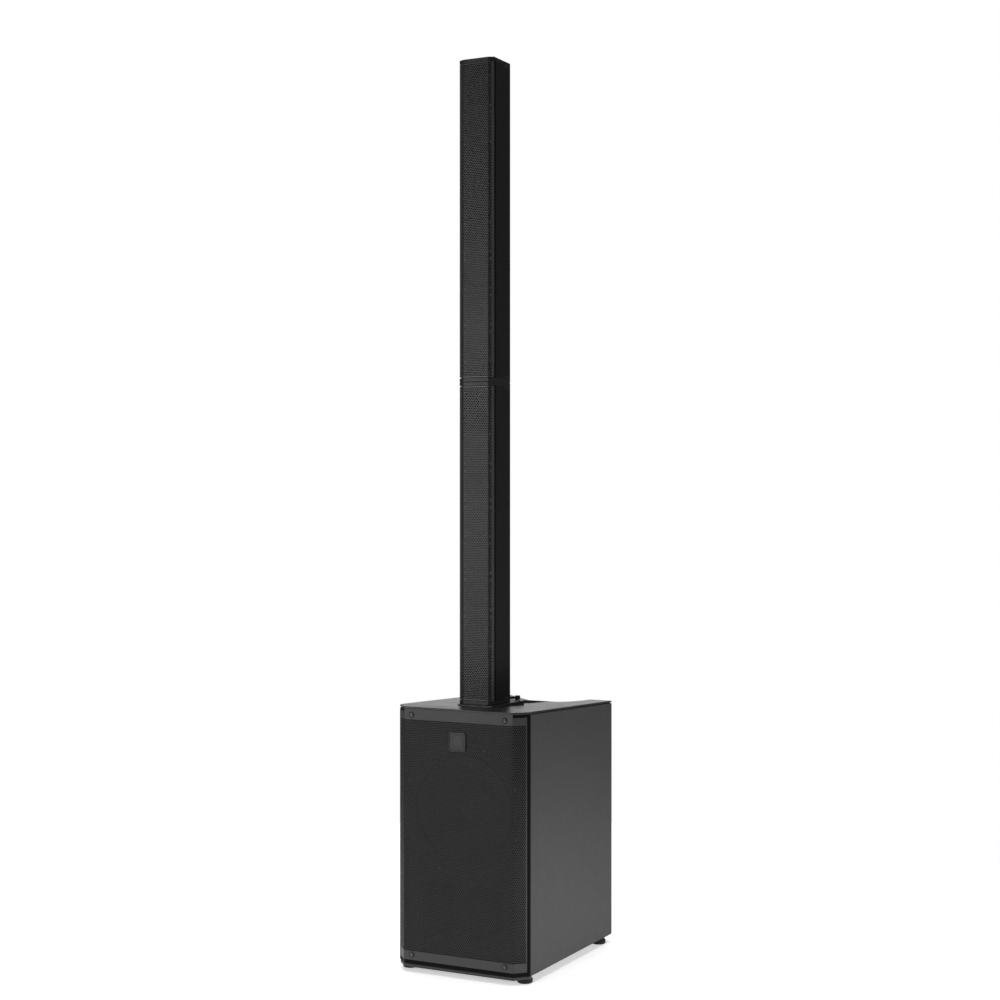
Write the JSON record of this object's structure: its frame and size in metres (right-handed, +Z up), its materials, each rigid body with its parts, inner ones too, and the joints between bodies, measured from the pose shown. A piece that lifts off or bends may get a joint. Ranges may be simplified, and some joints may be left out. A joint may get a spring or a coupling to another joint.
{
  "type": "pa speaker",
  "caption": "Active PA speaker: a slim column array in plug-together modules standing on a subwoofer cabinet with a bent perforated grille, rear amplifier panel, handle pocket and rubber feet.",
  "frame": {"origin": "on the floor under the middle of the base cabinet", "axes": "+Z up, the grilles face -Y, +X to the right seen from the front"},
  "size_m": [0.345, 0.495, 2.149],
  "materials": {
    "cabinet_paint": "fine-textured black paint on plywood",
    "raw_board": "bare plywood",
    "baffle_paint": "matt black paint",
    "deck_plastic": "satin grained plastic",
    "cup_plastic": "grained plastic",
    "handle_rubber": "soft grip",
    "frame_plastic": "fine grained plastic",
    "trim_plastic": "satin plastic",
    "foot_rubber": "matt",
    "duct_plastic": "smooth moulded",
    "grille_paint": "powder coat",
    "screw_steel": "black zinc",
    "badge_metal": "satin plate",
    "basket_metal": "black paint",
    "motor_steel": "zinc plated",
    "ferrite": "ground ferrite",
    "spider_cloth": "resin-dipped cloth",
    "surround_rubber": "matt",
    "cone_pulp": "pressed pulp",
    "cap_pulp": "pressed pulp",
    "coil_copper": "wound wire",
    "panel_paint": "powder coat",
    "heatsink_metal": "black anodised",
    "board_resin": "solder mask",
    "socket_plastic": "moulded",
    "rocker_plastic": "glossy",
    "latch_metal": "satin",
    "knob_plastic": "soft touch",
    "button_plastic": "satin",
    "socket_metal": "cast",
    "lever_metal": "black coat",
    "column_paint": "black powder coat on extrusion",
    "column_grille_paint": "powder coat",
    "cap_plastic": "satin plastic",
    "driver_baffle_plastic": "matt black",
    "driver_frame_metal": "grey satin paint",
    "driver_cone_pulp": "coated paper"
  },
  "bodies": {
    "base": {"amp_board": "board_resin", "amp_panel": "panel_paint", "back_panel": "cabinet_paint", "badge_plate": "badge_metal", "bottom_panel": "cabinet_paint", "bottom_trim": "trim_plastic", "column_socket": "socket_metal", "front_baffle": "baffle_paint", "front_frame": "frame_plastic", "front_grille": "grille_paint", "grille_screws": "screw_steel", "handle_bar": "handle_rubber", "handle_cup": "cup_plastic", "heatsink": "heatsink_metal", "input_socket": "socket_plastic", "left_side_panel": "cabinet_paint", "link_socket": "socket_plastic", "panel_screws": "screw_steel", "port_ducts": "duct_plastic", "power_inlet": "socket_plastic", "power_supply": "board_resin", "right_side_panel": "cabinet_paint", "rocker_frame": "socket_plastic", "rubber_feet": "foot_rubber", "top_board": "raw_board", "top_deck": "deck_plastic", "woofer_frame": "basket_metal", "woofer_magnet": "ferrite", "woofer_pole_piece": "motor_steel", "woofer_screws": "screw_steel", "woofer_spider": "spider_cloth", "woofer_surround": "surround_rubber", "woofer_top_plate": "motor_steel"},
    "lower_column": {"lower_cap_screws": "screw_steel", "lower_driver_baffle": "driver_baffle_plastic", "lower_driver_frames": "driver_frame_metal", "lower_driver_magnets": "ferrite", "lower_foot_cap": "cap_plastic", "lower_grille": "column_grille_paint", "lower_housing": "column_paint", "lower_top_cap": "cap_plastic"},
    "upper_column": {"upper_cap_screws": "screw_steel", "upper_driver_baffle": "driver_baffle_plastic", "upper_driver_frames": "driver_frame_metal", "upper_driver_magnets": "ferrite", "upper_foot_cap": "cap_plastic", "upper_grille": "column_grille_paint", "upper_housing": "column_paint", "upper_top_cap": "cap_plastic"},
    "woofer_cone": {"woofer_cone": "cone_pulp", "woofer_dust_cap": "cap_pulp", "woofer_voice_coil": "coil_copper"},
    "lower_cones": {"lower_driver_cones": "driver_cone_pulp"},
    "upper_cones": {"upper_driver_cones": "driver_cone_pulp"},
    "lock_lever": {"lock_lever": "lever_metal"},
    "level_knob": {"level_knob": "knob_plastic"},
    "mode_button": {"mode_button": "button_plastic"},
    "ground_button": {"ground_button": "button_plastic"},
    "input_latch": {"input_latch": "latch_metal"},
    "power_rocker": {"power_rocker": "rocker_plastic"}
  },
  "joints": [
    {"name": "lower_column_lift", "type": "slide", "parent": "base", "child": "lower_column", "axis": [0, 0, 1], "range_m": [0, 0.08]},
    {"name": "upper_column_lift", "type": "slide", "parent": "lower_column", "child": "upper_column", "axis": [0, 0, 1], "range_m": [0, 0.08]},
    {"name": "woofer_travel", "type": "slide", "parent": "base", "child": "woofer_cone", "axis": [0, -1, 0], "range_m": [-0.006, 0.006], "stiffness_N_per_m": 3500, "deforming": ["woofer_surround", "woofer_spider"]},
    {"name": "lower_driver_travel", "type": "slide", "parent": "lower_column", "child": "lower_cones", "axis": [0, -1, 0], "range_m": [-0.001, 0.001], "stiffness_N_per_m": 3000},
    {"name": "upper_driver_travel", "type": "slide", "parent": "upper_column", "child": "upper_cones", "axis": [0, -1, 0], "range_m": [-0.001, 0.001], "stiffness_N_per_m": 3000},
    {"name": "lock_lever_turn", "type": "hinge", "parent": "base", "child": "lock_lever", "pos_m": [0, -0.039, 0.628], "axis": [0, 0, 1], "range_deg": [0, 110]},
    {"name": "level_knob_turn", "type": "hinge", "parent": "base", "child": "level_knob", "pos_m": [0.034, 0.24, 0.27], "axis": [0, 1, 0], "range_deg": [-150, 150]},
    {"name": "mode_button_press", "type": "slide", "parent": "base", "child": "mode_button", "axis": [0, -1, 0], "range_m": [0, 0.003], "stiffness_N_per_m": 400},
    {"name": "ground_button_press", "type": "slide", "parent": "base", "child": "ground_button", "axis": [0, -1, 0], "range_m": [0, 0.003], "stiffness_N_per_m": 400},
    {"name": "input_latch_press", "type": "slide", "parent": "base", "child": "input_latch", "axis": [0, -1, 0], "range_m": [0, 0.0015], "stiffness_N_per_m": 400},
    {"name": "power_rocker_tilt", "type": "hinge", "parent": "base", "child": "power_rocker", "pos_m": [0.02, 0.233, 0.168], "axis": [1, 0, 0], "range_deg": [0, 18]}
  ]
}
